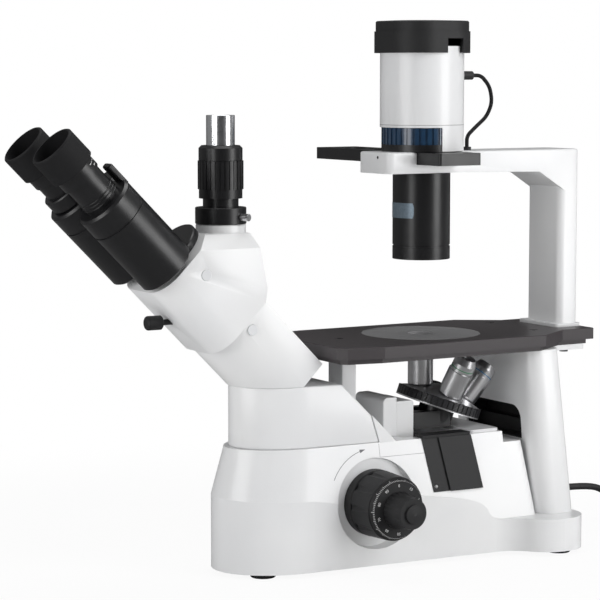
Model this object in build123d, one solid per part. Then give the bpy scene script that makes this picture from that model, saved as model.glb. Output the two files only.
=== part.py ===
from build123d import *
import os
from math import atan2, cos, degrees, hypot, pi, radians, sin, tan

os.makedirs("parts", exist_ok=True)

# An inverted microscope. Lengths are in millimetres and angles in degrees. Inside each section X and Y
# are measured from the optical axis through the stage, +X to the rear and +Y to the operator's left,
# and Z from the bench. save() moves every piece to the middle of the footprint as it is written.

# Driving places of the whole instrument
stage_top = 203.0
deck_height = 113.0
foot_height = 4.0
eye_tilt = 45.0
rim_u = -144.7
rim_s = 399.0

# Clearances and common small sizes
slip = 0.08
seat = 0.3
cut_over = 2.0
soft_edge = 1.0

# Base casting and what is under it
front_long = 70.0
front_half = 52.0
front_centre = -146.0
waist_x = 42.0
waist_half = 64.5
hip_x = 97.0
hip_half = 95.0
hip_corner = 27.0
base_rear = 130.0
skirt_nose_top = 64.0
skirt_knob_top = 60.0
skirt_crest_top = 63.0
skirt_back_top = 34.5
low_front_long = 75.0
low_front_half = 58.5
low_front_centre = -150.6
low_rear = 89.0
low_rear_half = 65.5
deck_front_long = 64.0
deck_front_half = 43.0
deck_front_centre = -140.4
deck_rear = 80.0
deck_rear_half = 50.0
deck_corner = 8.0
step_x = 58.0
step_drop = 10.0
crown_front = 27.0
crown_rise = 2.5
crown_half = 44.0
well_front = -42.0
well_rear = 22.0
well_half = 34.0
well_depth = 38.0
base_wall = 7.0
hollow_top = 46.0
hollow_rear_top = 28.0
hollow_step_x = 45.0
plate_thick = 2.0
plate_rim = 4.0
foot_radius = 11.5
foot_front_x = -184.0
foot_front_y = 27.0
foot_rear_x = 104.0
foot_rear_y = 76.0

# Front tower, slanted arm and head box
tower_long = 60.0
tower_half = 41.0
tower_centre = -139.6
tower_rear_x = -60.0
tower_rear_half = 46.0
tower_top = 168.0
seam_x = -82.0
seam_foot_x = -74.0
arm_front_u = -166.9
arm_back_u = -104.0
arm_seam_s = 163.3
head_half = 42.0
head_face_s = 242.2
head_roof = 304.5
head_roof_rear = -197.0
head_back_x = -187.5
head_back_z = 257.0
head_edge = 24.0
head_chamfer_side = 12.0
head_chamfer_drop = 14.0
port_x = -210.5
port_boss_radius = 22.0
port_boss_top = 311.5
head_plug_x = -247.5
head_plug_z = 271.0
arm_plug_x = -202.0
arm_plug_z = 221.5
plug_radius = 4.8
plug_proud = 0.5
plug_deep = 3.0

# Binocular: two prism housings on one hub
pupil_distance = 57.6
hub_drop = 24.0
hub_plate_radius = 27.0
hub_plate_thick = 6.5
hub_pin_radius = 6.0
ear_radius = 11.0
ear_gap = 0.4
housing_radius = 26.0
housing_neck_low = 9.0
housing_neck_high = 23.0
housing_top = 65.0
housing_base = 150.0
housing_seam = 86.0
seam_deep = 0.8
seam_wide = 1.6
eye_bore = 15.0
eye_tube_radius = 16.5
eye_tube_top = 38.0
eye_bore_deep = 30.0
barrel_length = 24.0
eye_collar_radius = 18.0
cup_radius = 20.7
cup_wall = 2.4
cup_low = 26.0
cup_floor = 12.0
eye_lens_radius = 14.0
eye_head_wall = 3.0
lens_thick = 3.0
diopter_radius = 20.8
diopter_top = 52.0
diopter_low = 64.0
lug_wide = 12.0
lug_long = 17.0
lug_tall = 5.4
lug_place = 24.3
lug_aside = 2.0

# Camera port and light path selector
port_ring_radius = 22.4
port_ring_top = 326.0
port_neck_radius = 15.6
port_sleeve_radius = 15.0
port_sleeve_top = 379.5
port_focus_low = 333.5
port_focus_top = 366.5
port_focus_radius = 20.0
port_band_radius = 19.0
port_band_height = 8.0
port_rib = 0.8
port_rib_count = 30
port_cap_radius = 19.2
camera_tube_radius = 12.5
camera_tube_bore = 11.6
camera_tube_low = 345.0
camera_tube_top = 405.9
camera_clamp_low = 380.0
camera_groove = 1.0
thumb_radius = 3.2
thumb_length = 8.0
thumb_pin = 1.5
thumb_turn = -65.0
selector_z = 228.0
selector_rod_radius = 2.5
selector_knob_radius = 6.3
selector_knob_front = -284.5
selector_knob_long = 15.0
selector_inside = 34.0

# Rear column, stage and what holds it
column_low_front = 90.0
column_low_rear = 130.0
column_low_half = 72.0
column_top_front = 78.0
column_top_rear = 115.0
column_top_half = 66.0
column_corner = 15.0
cavity_half = 44.0
cavity_low = 103.0
cavity_high = 134.0
cavity_corner = 13.0
cavity_back = 108.0
liner_wall = 1.5
liner_block_x = 98.0
liner_block_z = 118.0
stage_thick = 15.0
stage_under = 4.5
stage_under_step = 5.0
stage_side = 74.0
stage_front = -128.0
stage_front_half = 60.0
stage_nose_x = -122.0
stage_nose_half = 68.0
stage_shoulder_x = -87.0
stage_rear_x = 89.0
stage_neck_x = 127.0
stage_neck_half = 49.0
stage_end = 163.5
stage_window = 49.0
stage_relief = 66.0
insert_radius = 55.0
insert_thick = 3.0
insert_hole = 12.0
bracket_thick = 5.0
bracket_front = 100.0
bracket_half = 44.0
bracket_end = 158.0
post_front = -93.0
post_long = 15.0
post_half = 12.0
post_groove = 1.2
post_groove_drop = 8.0
stage_front_screw_x = -89.0
stage_rear_screw_x = 104.0
stage_rear_screw_y = 35.0
bracket_screw_x = 140.0
bracket_screw_y = 34.0
screw_radius = 4.0
screw_socket = 2.0
screw_head = 2.5

# Illumination arm, lamp and condenser
pillar_front = 139.5
pillar_half = 26.0
pillar_foot_thick = 3.0
pillar_foot_front = 6.0
pillar_foot_side = 4.0
arm_roof = 371.0
arm_floor = 351.7
arm_root = 341.8
arm_root_long = 24.0
arm_nose = -53.0
arm_half = 26.0
arm_corner = 7.0
condenser_radius = 26.5
condenser_low = 272.4
condenser_wall = 2.5
condenser_groove_z = 284.0
condenser_lens_radius = 19.0
light_bore = 20.0
collar_radius = 37.0
collar_top = 377.5
filter_top = 392.7
filter_radius = 37.0
filter_rib = 1.0
filter_rib_count = 40
lamp_radius = 38.5
lamp_skirt_wall = 1.2
lamp_wall = 2.5
lamp_low = 371.5
lamp_top = 460.4
lamp_window_x = -3.0
lamp_window_z = 393.0
lamp_tab_wide = 17.0
lamp_tab_x = 10.0
lamp_tab_rise = 6.0
cap_side = 80.0
cap_corner = 30.0
cap_height = 29.0
cap_step = 9.4
cap_step_in = 1.2
cap_notch_high = 13.0
cap_notch_deep = 5.0
cap_shell = 4.0
socket_plate = 2.0
socket_radius = 11.0
socket_tall = 22.0
bulb_radius = 5.5
bulb_tall = 24.0
slider_half = 22.5
slider_thick = 11.0
slider_near = 63.0
slider_far = 150.0
slider_drop = 0.3
slider_window = 16.0
slider_pitch = 52.0
slider_groove = 1.0
slider_grip = 8.0

# Nosepiece and objectives
turret_tilt = 19.0
turret_turn = -15.0
turret_pitch = 22.5
turret_seat_z = 155.2
turret_ring_radius = 40.0
turret_ring_low = -15.0
turret_ring_top = -5.6
turret_edge = 1.4
turret_notch = 1.1
turret_notch_count = 48
turret_cone_radius = 38.0
turret_eye_radius = 6.0
turret_hole = 7.0
objective_radius = 11.75
objective_tip_radius = 8.4
objective_long = 39.0
objective_step = 25.0
objective_cone = 6.0
objective_lens = 3.5
turret_plug_tall = 5.0
turret_spigot = 4.0
light_path = 11.0

# Focus: guide, carriage and knobs
knob_x = -82.0
knob_z = 60.0
guide_front = -56.5
guide_rear = -41.5
guide_half = 24.0
guide_top = 149.0
carriage_thick = 19.4
carriage_half = 22.0
carriage_top = 144.5
carriage_low = 88.0
bracket_top = 132.0
bracket_bottom = 116.8
bracket_reach = 21.5
bracket_side = 20.0
bracket_travel = 5.2
boss_radius = 17.0
dish_mouth = 45.0
dish_floor_radius = 40.0
dish_floor = 46.0
collar_plate = 10.0
collar_ring = 30.0
collar_hole = 2.0
coarse_radius = 30.0
coarse_tip_radius = 28.5
coarse_taper = 3.0
coarse_near = 57.0
coarse_far = 84.0
coarse_flute = 5.0
coarse_flute_deep = 1.6
coarse_flute_count = 10
dial_radius = 25.2
dial_far = 89.5
fine_near = 90.0
fine_radius = 16.5
fine_tip_radius = 13.6
knob_end = 115.5
fine_rib = 0.9
fine_rib_count = 24
shaft_radius = 8.0
fine_shaft_radius = 3.0

# Side cover, controls and leads
cover_front = -30.0
cover_rear = 22.0
cover_shift = 7.5
cover_low = 64.5
cover_thick = 2.5
cover_pocket_wide = 17.0
cover_pocket = 1.7
switch_x = 30.0
switch_z = 86.0
switch_long = 21.0
switch_high = 15.0
switch_proud = 1.5
switch_seat = 42.0
switch_frame = 2.0
rocker_radius = 8.0
rocker_axis_y = 49.0
rocker_spread = 32.0
rocker_pin = 1.5
dimmer_seat = 49.0
dimmer_gap = 2.5
dimmer_shaft = 3.0
dimmer_rib = 0.8
dimmer_rib_count = 18
dimmer_x = -8.0
dimmer_z = 84.0
dimmer_radius = 9.0
dimmer_proud = 12.0
lead_radius = 1.8
cord_radius = 3.2
inlet_z = 44.0
inlet_y = -10.0
gland_radius = 6.0
gland_long = 22.0
gland_flange = 9.0
gland_plate = 2.0
lead_gland = 4.0
lead_top_z = 440.0
lead_foot_x = 50.5
lead_foot_rise = 3.0
transformer_front = -150.0
transformer_long = 62.0
transformer_half = 25.0
transformer_tall = 34.0
board_front = -60.0
board_long = 95.0
board_half = 36.0
board_rise = 6.0
board_thick = 1.6
board_post = 3.0
mirror_half = 13.0
mirror_tall = 24.0
lead_out = 17.0
coil_x = 272.0
coil_y = -38.0
coil_ring = 41.0
coil_wide = 19.4
coil_tall = 13.0
plug_x = 326.0
plug_y = -64.0
plug_long = 36.0
plug_half = 12.0
plug_tall = 20.0
blade_long = 17.0
blade_wide = 6.3
blade_thick = 1.5
blade_apart = 12.7

# Places worked out from the sizes above
neck_reach = hypot(hub_drop, pupil_distance / 2)
neck_turn = 180 - degrees(atan2(pupil_distance / 2, hub_drop))
port_spigot_low = port_boss_top - port_boss_radius
thumb_z = (port_boss_top + port_ring_top) / 2 - soft_edge
slider_low = arm_roof - slider_drop - slider_thick
slider_windows = 3
plug_places = (
    (head_plug_x, head_plug_z, head_half),
    (arm_plug_x, arm_plug_z, tower_half),
)
bracket_screws = ((bracket_screw_x, -bracket_screw_y), (bracket_screw_x, bracket_screw_y))
stage_screws = (
    (stage_front_screw_x, 0), (stage_rear_screw_x, -stage_rear_screw_y),
    (stage_rear_screw_x, stage_rear_screw_y),
)

# Where the middle of the footprint lies from the optical axis
eye_rim_x = rim_u * sin(radians(eye_tilt)) - rim_s * cos(radians(eye_tilt))
cup_reach = cup_radius * sin(radians(eye_tilt))
axis_from_middle_x = -(eye_rim_x - cup_reach + stage_end) / 2
axis_from_middle_y = (knob_end - slider_far) / 2

# The slanted frame of the head and binocular: u to the rear and up, s along the light to the eye
eye = Plane(
    origin=(0, 0, stage_top),
    x_dir=(sin(radians(eye_tilt)), 0, cos(radians(eye_tilt))),
    z_dir=(-cos(radians(eye_tilt)), 0, sin(radians(eye_tilt))),
)

# The tilted frame of the revolving nosepiece, with x toward the objective in use
tilt_x = cos(radians(turret_tilt)) * cos(radians(turret_turn))
tilt_y = cos(radians(turret_tilt)) * sin(radians(turret_turn))
tilt_z = -sin(radians(turret_tilt))
turret = Plane(
    origin=(turret_pitch * tilt_x, turret_pitch * tilt_y, turret_seat_z + turret_pitch * tilt_z),
    x_dir=(-tilt_x, -tilt_y, -tilt_z),
    z_dir=(
        sin(radians(turret_tilt)) * cos(radians(turret_turn)),
        sin(radians(turret_tilt)) * sin(radians(turret_turn)),
        cos(radians(turret_tilt)),
    ),
)


def save(name, *shapes):
    solids = []
    for shape in shapes:
        solids += (Pos(axis_from_middle_x, axis_from_middle_y, 0) * shape).solids()
    whole = solids[0] if len(solids) == 1 else Compound(children=solids)
    export_step(whole, f"parts/{name}.step")


def block(x0, x1, y0, y1, z0, z1):
    return Pos((x0 + x1) / 2, (y0 + y1) / 2, (z0 + z1) / 2) * Box(x1 - x0, y1 - y0, z1 - z0)


def soft_block(x0, x1, y0, y1, z0, z1, corner):
    body = block(x0, x1, y0, y1, z0, z1)
    return fillet(body.edges().filter_by(Axis.Z), corner)


def drum(radius, low, high, x=0, y=0, bore=0):
    face = Circle(radius)
    if bore:
        face -= Circle(bore)
    return Pos(x, y, low) * extrude(face, high - low)


def cone(radius_low, radius_high, low, high):
    return Pos(0, 0, (low + high) / 2) * Cone(radius_low, radius_high, high - low)


def turned(points):
    return revolve(Plane.XZ * make_face(Polyline(*points, close=True)), Axis.Z)


def across(points, half):
    return extrude(Plane.XZ * make_face(Polyline(*points, close=True)), half, both=True)


def near(shape, x=knob_x, z=knob_z):
    # Stands a shape that was made along +Z out of the operator's right side, at -Y
    return Pos(x, 0, z) * Rot(90, 0, 0) * shape


def both_sides(shape):
    return shape, mirror(shape, Plane.XZ)


# Base casting


def base_plan(inset=0):
    # The outline of the plinth: an oval nose, a waist, and hips swept out to the rear feet
    front = front_half - inset
    waist = waist_half - inset
    hip = hip_half - inset
    rear = base_rear - inset
    corner = hip_corner - inset
    nose = EllipticalCenterArc((front_centre, 0), front_long - inset, front, 90, arc_size=180)
    side = Line((front_centre, -front), (waist_x, -waist))
    middle = ((waist_x + hip_x) / 2, -(waist + hip) / 2)
    flare = TangentArc((waist_x, -waist), middle, tangent=side % 1)
    swell = TangentArc(middle, (hip_x, -hip), tangent=flare % 1)
    flank = Line((hip_x, -hip), (rear - corner, -hip))
    turn = TangentArc((rear - corner, -hip), (rear, corner - hip), tangent=flank % 1)
    right = Curve() + [side, flare, swell, flank, turn]
    back = Line((rear, corner - hip), (rear, hip - corner))
    return make_face(Curve() + [nose, right, back, mirror(right, Plane.XZ)])


def skirt_profile():
    # The ledge that the plinth makes along each side, lowest behind the knobs
    tail = base_rear + cut_over
    nose = front_centre - front_long - cut_over
    crest = Spline(
        (nose, skirt_nose_top),
        (front_centre - front_long / 2, skirt_nose_top),
        (front_centre - front_long / 5, skirt_knob_top + soft_edge),
        (knob_x, skirt_knob_top),
        (well_front, skirt_crest_top),
        ((well_front + well_rear) / 2, skirt_crest_top - foot_height),
        ((well_rear + waist_x) / 2, (skirt_crest_top + skirt_back_top) / 2 - foot_height),
        (waist_x + foot_height * 2, skirt_back_top),
        tangents=((1, 0), (1, 0)),
    )
    low = Polyline(
        (waist_x + foot_height * 2, skirt_back_top), (tail, skirt_back_top), (tail, foot_height),
        (nose, foot_height), (nose, skirt_nose_top),
    )
    return Plane.XZ * make_face(Curve() + [crest, low])


def d_face(z, centre, long, half, rear, rear_half):
    nose = EllipticalCenterArc((centre, 0), long, half, 90, arc_size=180)
    back = Polyline((centre, -half), (rear, -rear_half), (rear, rear_half), (centre, half))
    return Pos(0, 0, z) * make_face(Curve() + [nose, back])


def upper_body():
    low = d_face(
        skirt_back_top, low_front_centre, low_front_long, low_front_half, low_rear, low_rear_half
    )
    top = d_face(
        deck_height, deck_front_centre, deck_front_long, deck_front_half, deck_rear, deck_rear_half
    )
    body = loft([low, top])
    corners = body.edges().filter_by(lambda e: e.bounding_box().min.X > step_x).filter_by(
        lambda e: e.bounding_box().size.Z > step_drop
    )
    return fillet(corners, deck_corner) + extrude(low, cut_over, dir=(0, 0, -1))


def base_casting():
    plan = base_plan()
    prism = Pos(0, 0, foot_height) * extrude(plan, deck_height, dir=(0, 0, 1))
    skirt = extrude(skirt_profile(), hip_half + cut_over, both=True)
    body = (skirt + upper_body()) & prism
    body -= block(
        step_x, base_rear, -hip_half, hip_half, deck_height - step_drop, deck_height + cut_over
    )
    body += soft_block(
        crown_front, step_x, -crown_half, crown_half, deck_height - step_drop,
        deck_height + crown_rise, soft_edge * 3,
    )
    body -= block(
        well_front, well_rear, -well_half, well_half, deck_height - well_depth, deck_height + cut_over
    )
    inner = base_plan(base_wall)
    room = extrude(inner, hollow_top - foot_height, dir=(0, 0, 1))
    room &= block(
        -stage_top, stage_top, base_wall - dish_floor, dish_floor - base_wall, 0, hollow_top
    )
    room -= block(
        hollow_step_x, base_rear, -hip_half, hip_half, hollow_rear_top - foot_height, hollow_top
    )
    body -= Pos(0, 0, foot_height) * room
    body -= Pos(0, 0, foot_height) * extrude(base_plan(plate_rim), plate_thick, dir=(0, 0, 1))
    dish = cone(dish_floor_radius, dish_mouth, dish_floor, hip_half)
    for cut in both_sides(near(dish)):
        body -= cut
    body -= near(Pos(0, 0, -hip_half) * extrude(Circle(shaft_radius + slip), hip_half * 2))
    body += deck_toe()
    boss = Pos(0, 0, dish_floor) * extrude(Circle(collar_ring) - Circle(shaft_radius + slip), collar_plate)
    body += mirror(near(boss), Plane.XZ)
    body -= switch_hole(slip)
    body -= Pos(dimmer_x, 0, dimmer_z) * Rot(-90, 0, 0) * dimmer_room()
    return body


def switch_hole(gap):
    return block(
        switch_x - switch_long / 2 - gap, switch_x + switch_long / 2 + gap, switch_seat - gap,
        hip_half, switch_z - switch_high / 2 - gap, switch_z + switch_high / 2 + gap,
    )


def dimmer_room():
    # Made along +Z and turned to +Y: a round dish for the knob, and its shaft's bore
    dish = Pos(0, 0, dimmer_seat) * extrude(Circle(dimmer_radius + dimmer_gap), hip_half)
    return dish + Pos(0, 0, well_half + base_wall) * extrude(Circle(dimmer_shaft + slip), hip_half)


def bottom_plate():
    return Pos(0, 0, foot_height) * extrude(base_plan(plate_rim + seat), plate_thick, dir=(0, 0, 1))


def rubber_feet():
    pad = drum(foot_radius, 0, foot_height)
    pad = chamfer(pad.edges().group_by(Axis.Z)[0], soft_edge)
    places = (
        (foot_front_x, -foot_front_y), (foot_front_x, foot_front_y),
        (foot_rear_x, -foot_rear_y), (foot_rear_x, foot_rear_y),
    )
    return [Pos(x, y, 0) * pad for x, y in places]


# Front tower and the slanted arm


def front_tower():
    plan = d_face(deck_height, tower_centre, tower_long, tower_half, tower_rear_x, tower_rear_half)
    reach = tower_centre - tower_long - cut_over
    side = (
        (reach, deck_height), (seam_foot_x, deck_height), (seam_x, slant_z(seam_x)),
        (slant_x(tower_top), tower_top), (reach, tower_top),
    )
    return extrude(plan, tower_top - deck_height) & across(side, head_half * 2)


def deck_toe():
    # The wedge left on the deck behind the tower, where the slanted back runs out
    side = ((seam_foot_x, deck_height), (seam_x, slant_z(seam_x)), (slant_x(deck_height), deck_height))
    return across(side, tower_rear_half)


def head_arm():
    # A half round lower front and flat sides, swept up the slant
    middle = arm_front_u + tower_half
    flat_face = Pos((middle + arm_back_u) / 2, 0) * Rectangle(arm_back_u - middle, tower_half * 2)
    half_plane = Pos(middle - tower_half, 0) * Rectangle(tower_half * 2, tower_half * 2)
    face = (Pos(middle, 0) * Circle(tower_half) & half_plane) + flat_face
    low = arm_seam_s / 2
    body = eye * Pos(0, 0, low) * extrude(face, arm_seam_s - low)
    body -= block(
        port_x - head_half, 0, -hip_half, hip_half, 0, tower_top
    )
    for cut in plug_cuts():
        body -= cut
    return body


def slant_x(z):
    return (arm_back_u - (z - stage_top) * cos(radians(eye_tilt))) / sin(radians(eye_tilt))



# Head box on the arm, with the camera port's boss


def to_eye(x, z):
    side = sin(radians(eye_tilt))
    up = cos(radians(eye_tilt))
    return (x * side + (z - stage_top) * up, -x * up + (z - stage_top) * side)


def head_profile():
    # The outline in u and s, from the lower front edge round by the roof to the heel
    front_u = (head_roof - stage_top - head_face_s * sin(radians(eye_tilt))) / cos(radians(eye_tilt))
    return (
        (arm_front_u, arm_seam_s), (arm_front_u, head_face_s), (front_u, head_face_s),
        to_eye(head_roof_rear, head_roof), to_eye(head_back_x, head_back_z), (arm_back_u, arm_seam_s),
    )


def head_box():
    outline = Plane.XZ * make_face(Polyline(*head_profile(), close=True))
    body = eye * extrude(outline, head_half, both=True)
    low_front = body.edges().filter_by(lambda e: abs(to_eye(e.center().X, e.center().Z)[0] - arm_front_u) < seat)
    body = fillet(low_front.filter_by(lambda e: abs(e.center().Y) > head_half / 2), head_edge)
    roof = body.edges().filter_by(Axis.X).filter_by(lambda e: abs(e.center().Z - head_roof) < seat)
    body = chamfer(roof, head_chamfer_side, head_chamfer_drop)
    boss = drum(port_boss_radius, head_back_z + head_chamfer_drop, port_boss_top, port_x)
    body += chamfer(boss.edges().group_by(Axis.Z)[-1], soft_edge)
    body -= drum(port_sleeve_radius + slip, port_spigot_low - seat, port_boss_top + cut_over, port_x)
    body -= selector_bore()
    for cut in plug_cuts():
        body -= cut
    return body


def selector_bore():
    back = selector_knob_front + selector_knob_long + selector_inside + cut_over
    return Pos(back, 0, selector_z) * Rot(0, -90, 0) * extrude(
        Circle(selector_rod_radius + slip), selector_inside * 2
    )


def plug_cuts():
    holes = []
    for x, z, face in plug_places:
        hole = near(Pos(0, 0, face - plug_deep) * extrude(Circle(plug_radius + slip), plug_deep * 2), x, z)
        holes += both_sides(hole)
    return holes


def screw_plugs():
    plugs = []
    for x, z, face in plug_places:
        plug = Pos(0, 0, face - plug_deep) * extrude(Circle(plug_radius), plug_deep + plug_proud)
        plug = chamfer(plug.edges().group_by(Axis.Z)[-1], plug_proud / 2)
        plugs += both_sides(near(plug, x, z))
    return plugs


def selector_rod():
    rod = extrude(Circle(selector_rod_radius), selector_knob_long + selector_inside)
    knob = extrude(Circle(selector_knob_radius), selector_knob_long)
    knob = fillet(knob.edges().group_by(Axis.Z)[0], selector_rod_radius)
    knob = chamfer(knob.edges().group_by(Axis.Z)[-1], soft_edge)
    return Pos(selector_knob_front, 0, selector_z) * Rot(0, 90, 0) * (rod + knob)


# Binocular


def hub_plate():
    plate = extrude(Circle(hub_plate_radius), hub_plate_thick)
    plate = chamfer(plate.edges().group_by(Axis.Z)[-1], soft_edge)
    pin = extrude(Circle(hub_pin_radius), rim_s - housing_top - head_face_s)
    return eye * Pos(rim_u + hub_drop, 0, head_face_s) * (plate + pin)


def ear_range(upper):
    middle = (housing_top + housing_base) / 2
    if upper:
        return rim_s - middle + ear_gap / 2, rim_s - housing_top
    return rim_s - housing_base, rim_s - middle - ear_gap / 2


def prism_housing(side, upper):
    # side is -1 on the right and 1 on the left; the two ears stack on the hub pin
    y = side * pupil_distance / 2
    low = rim_s - housing_base
    shell = Pos(rim_u, y, low) * extrude(Circle(housing_radius), housing_base - housing_top)
    shell = chamfer(shell.edges().filter_by(GeomType.CIRCLE), soft_edge * 2)
    groove = Circle(housing_radius + cut_over) - Circle(housing_radius - seam_deep)
    shell -= Pos(rim_u, y, rim_s - housing_seam) * extrude(groove, seam_wide)
    z0, z1 = ear_range(upper)
    neck = make_face(
        Polyline(
            (0, -housing_neck_low), (0, housing_neck_low),
            (neck_reach, housing_neck_high), (neck_reach, -housing_neck_high), close=True,
        )
    )
    ear = Pos(rim_u + hub_drop, 0) * (Circle(ear_radius) + Rot(0, 0, side * neck_turn) * neck)
    shell += Pos(0, 0, z0) * extrude(ear, z1 - z0)
    shell -= Pos(rim_u + hub_drop, 0, low) * extrude(Circle(hub_pin_radius + slip), housing_base)
    tube_low = rim_s - eye_tube_top - eye_bore_deep
    tube = extrude(Circle(eye_tube_radius), rim_s - eye_tube_top - tube_low)
    shell += Pos(rim_u, y, tube_low) * tube
    shell -= Pos(rim_u, y, tube_low) * extrude(Circle(eye_bore + slip), eye_bore_deep + cut_over)
    shell += Pos(rim_u + lug_place, y - side * lug_aside, rim_s - housing_top - lug_tall) * lug()
    return eye * shell


def lug():
    body = extrude(RectangleRounded(lug_tall, lug_wide, lug_tall / 2 - soft_edge), lug_long + lug_tall)
    return chamfer(body.edges().group_by(Axis.Z)[-1], soft_edge)


def eyepiece(side):
    # From the eye end down: head in the rubber cup, collar, and the barrel in the tube
    head = eye_lens_radius + eye_head_wall
    light = eye_lens_radius - eye_head_wall
    foot = eye_tube_top + barrel_length
    shelf = cup_floor + lens_thick + seat
    body = turned(
        (
            (light, -foot), (eye_bore, -foot), (eye_bore, seat - eye_tube_top),
            (eye_bore, seat - eye_tube_top + slip), (eye_collar_radius, seat - eye_tube_top + slip),
            (eye_collar_radius, -cup_low - slip), (head, -cup_low - slip), (head, -cup_floor),
            (eye_lens_radius + slip, -cup_floor), (eye_lens_radius + slip, -shelf), (light, -shelf),
        )
    )
    lens = Pos(0, 0, -shelf) * extrude(Circle(eye_lens_radius), lens_thick)
    place = eye * Pos(rim_u, side * pupil_distance / 2, rim_s)
    return place * body, place * lens


def eyecup(side):
    inner = cup_radius - cup_wall
    head = eye_lens_radius + eye_head_wall + slip
    body = turned(
        (
            (head, -cup_low), (cup_radius, -cup_low), (cup_radius, -soft_edge), (cup_radius - soft_edge, 0),
            (inner, 0), (inner, -cup_floor), (head, -cup_floor),
        )
    )
    return eye * Pos(rim_u, side * pupil_distance / 2, rim_s) * body


def diopter_ring():
    ring = Circle(diopter_radius) - Circle(eye_tube_radius + slip)
    body = extrude(ring, diopter_low - diopter_top)
    body = chamfer(body.edges().group_by(Axis.Z)[-1].sort_by(SortBy.RADIUS)[-1], soft_edge)
    return eye * Pos(rim_u, pupil_distance / 2, rim_s - diopter_low) * body


# Camera port


def port_ring():
    bore = camera_tube_radius + slip
    ring = drum(port_ring_radius, port_boss_top, port_ring_top, port_x, 0, bore)
    ring = chamfer(ring.edges().filter_by(GeomType.CIRCLE).filter_by(
        lambda e: e.radius > port_neck_radius), soft_edge / 2)
    ring += drum(port_neck_radius, port_ring_top, port_focus_low, port_x, 0, bore)
    ring += drum(port_sleeve_radius, port_spigot_low, port_sleeve_top, port_x, 0, bore)
    hole = Rot(0, 90, 0) * extrude(Circle(thumb_pin + slip), port_ring_radius + cut_over)
    return ring - Pos(port_x, 0, thumb_z) * Rot(0, 0, thumb_turn) * hole


def port_thumbscrew():
    head = Pos(0, 0, port_ring_radius + seat) * extrude(Circle(thumb_radius), thumb_length)
    head = chamfer(head.edges().group_by(Axis.Z)[-1], soft_edge / 2)
    start = camera_tube_radius + seat
    pin = Pos(0, 0, start) * extrude(Circle(thumb_pin), port_ring_radius - start + cut_over)
    return Pos(port_x, 0, thumb_z) * Rot(0, 0, thumb_turn) * Rot(0, 90, 0) * (head + pin)


def port_focus_ring():
    low = port_focus_low + seat
    ring = drum(port_band_radius, low, low + port_band_height, port_x, 0, port_sleeve_radius + slip)
    grip = Circle(port_focus_radius) - Circle(port_sleeve_radius + slip)
    rib = Pos(port_focus_radius, 0) * Rectangle(port_rib * 2, port_rib)
    for spot in PolarLocations(0, port_rib_count):
        grip -= spot * rib
    tall = port_focus_top - low - port_band_height
    return ring + Pos(port_x, 0, low + port_band_height) * extrude(grip, tall)


def port_cap():
    top = port_sleeve_top + seat
    cap = drum(port_cap_radius, port_focus_top + seat, top, port_x, 0, port_sleeve_radius + slip)
    outer = cap.edges().group_by(Axis.Z)[-1].sort_by(SortBy.RADIUS)[-1]
    return chamfer(outer, port_rib * 3)


def camera_tube():
    body = drum(camera_tube_radius, camera_tube_low, camera_tube_top, port_x, 0, camera_tube_bore)
    # A shallow groove ends the land that takes the adapter's clamp
    body -= drum(camera_tube_radius + cut_over, camera_clamp_low - camera_groove, camera_clamp_low,
                 port_x, 0, camera_tube_radius - camera_groove / 4)
    return chamfer(body.edges().group_by(Axis.Z)[-1], soft_edge / 4)


# Rear column


def column_shape():
    faces = []
    for z, front, rear, half in (
        (skirt_back_top, column_low_front, column_low_rear, column_low_half),
        (stage_top - stage_thick, column_top_front, column_top_rear, column_top_half),
    ):
        faces.append(Pos((front + rear) / 2, 0, z) * RectangleRounded(rear - front, half * 2, column_corner))
    return loft(faces)


def cavity(inset, back):
    room = block(
        column_top_front - cut_over, back, inset - cavity_half, cavity_half - inset,
        cavity_low + inset, cavity_high - inset,
    )
    return fillet(room.edges().filter_by(Axis.X).group_by(Axis.Z)[-1], cavity_corner - inset)


def rear_column():
    body = column_shape() - cavity(0, cavity_back)
    top = stage_top - stage_thick
    flange = soft_block(
        bracket_front, bracket_end, -bracket_half, bracket_half, top - bracket_thick, top, bracket_thick
    )
    body += flange
    for x, y in bracket_screws:
        body -= drum(screw_radius / 2 + slip, top - bracket_thick - cut_over, top + cut_over, x, y)
    body -= inlet_hole()
    return body


def inlet_hole():
    return Pos(cavity_back, inlet_y, inlet_z) * Rot(0, 90, 0) * extrude(
        Circle(gland_radius + slip), column_low_rear - cavity_back + cut_over
    )


def cavity_liner():
    skin = cavity(slip, cavity_back - slip) - cavity(liner_wall + slip, cavity_back - liner_wall - slip)
    front = block(
        0, column_low_front - foot_height, -hip_half, hip_half, cavity_low - cut_over, cavity_high + cut_over
    )
    step = block(
        liner_block_x, cavity_back - liner_wall, liner_wall - cavity_half + slip,
        cavity_half - liner_wall - slip, cavity_low + slip + liner_wall, liner_block_z,
    )
    return (skin - front) + step


# Stage


def stage_outline():
    right = (
        (stage_front, -stage_front_half), (stage_nose_x, -stage_nose_half),
        (stage_shoulder_x, -stage_side), (stage_rear_x, -stage_side),
        (stage_neck_x, -stage_neck_half), (stage_end, -stage_neck_half),
    )
    left = [(x, -y) for x, y in reversed(right)]
    return make_face(Polyline(*right, *left, close=True))


def stage_plate():
    outline = stage_outline()
    low = stage_top - stage_thick
    body = Pos(0, 0, low + stage_under) * extrude(outline, stage_thick - stage_under)
    body = chamfer(body.edges().group_by(Axis.Z)[-1], soft_edge / 2)
    body += Pos(0, 0, low) * extrude(offset(outline, -stage_under_step, kind=Kind.INTERSECTION), stage_under)
    body -= drum(stage_window, low - cut_over, stage_top)
    body -= drum(stage_relief, low - cut_over, low + stage_under)
    body -= drum(insert_radius + slip, stage_top - insert_thick, stage_top + cut_over)
    for x, y in stage_screws:
        body -= drum(screw_radius + slip, stage_top - screw_head, stage_top + cut_over, x, y)
    return body


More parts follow.
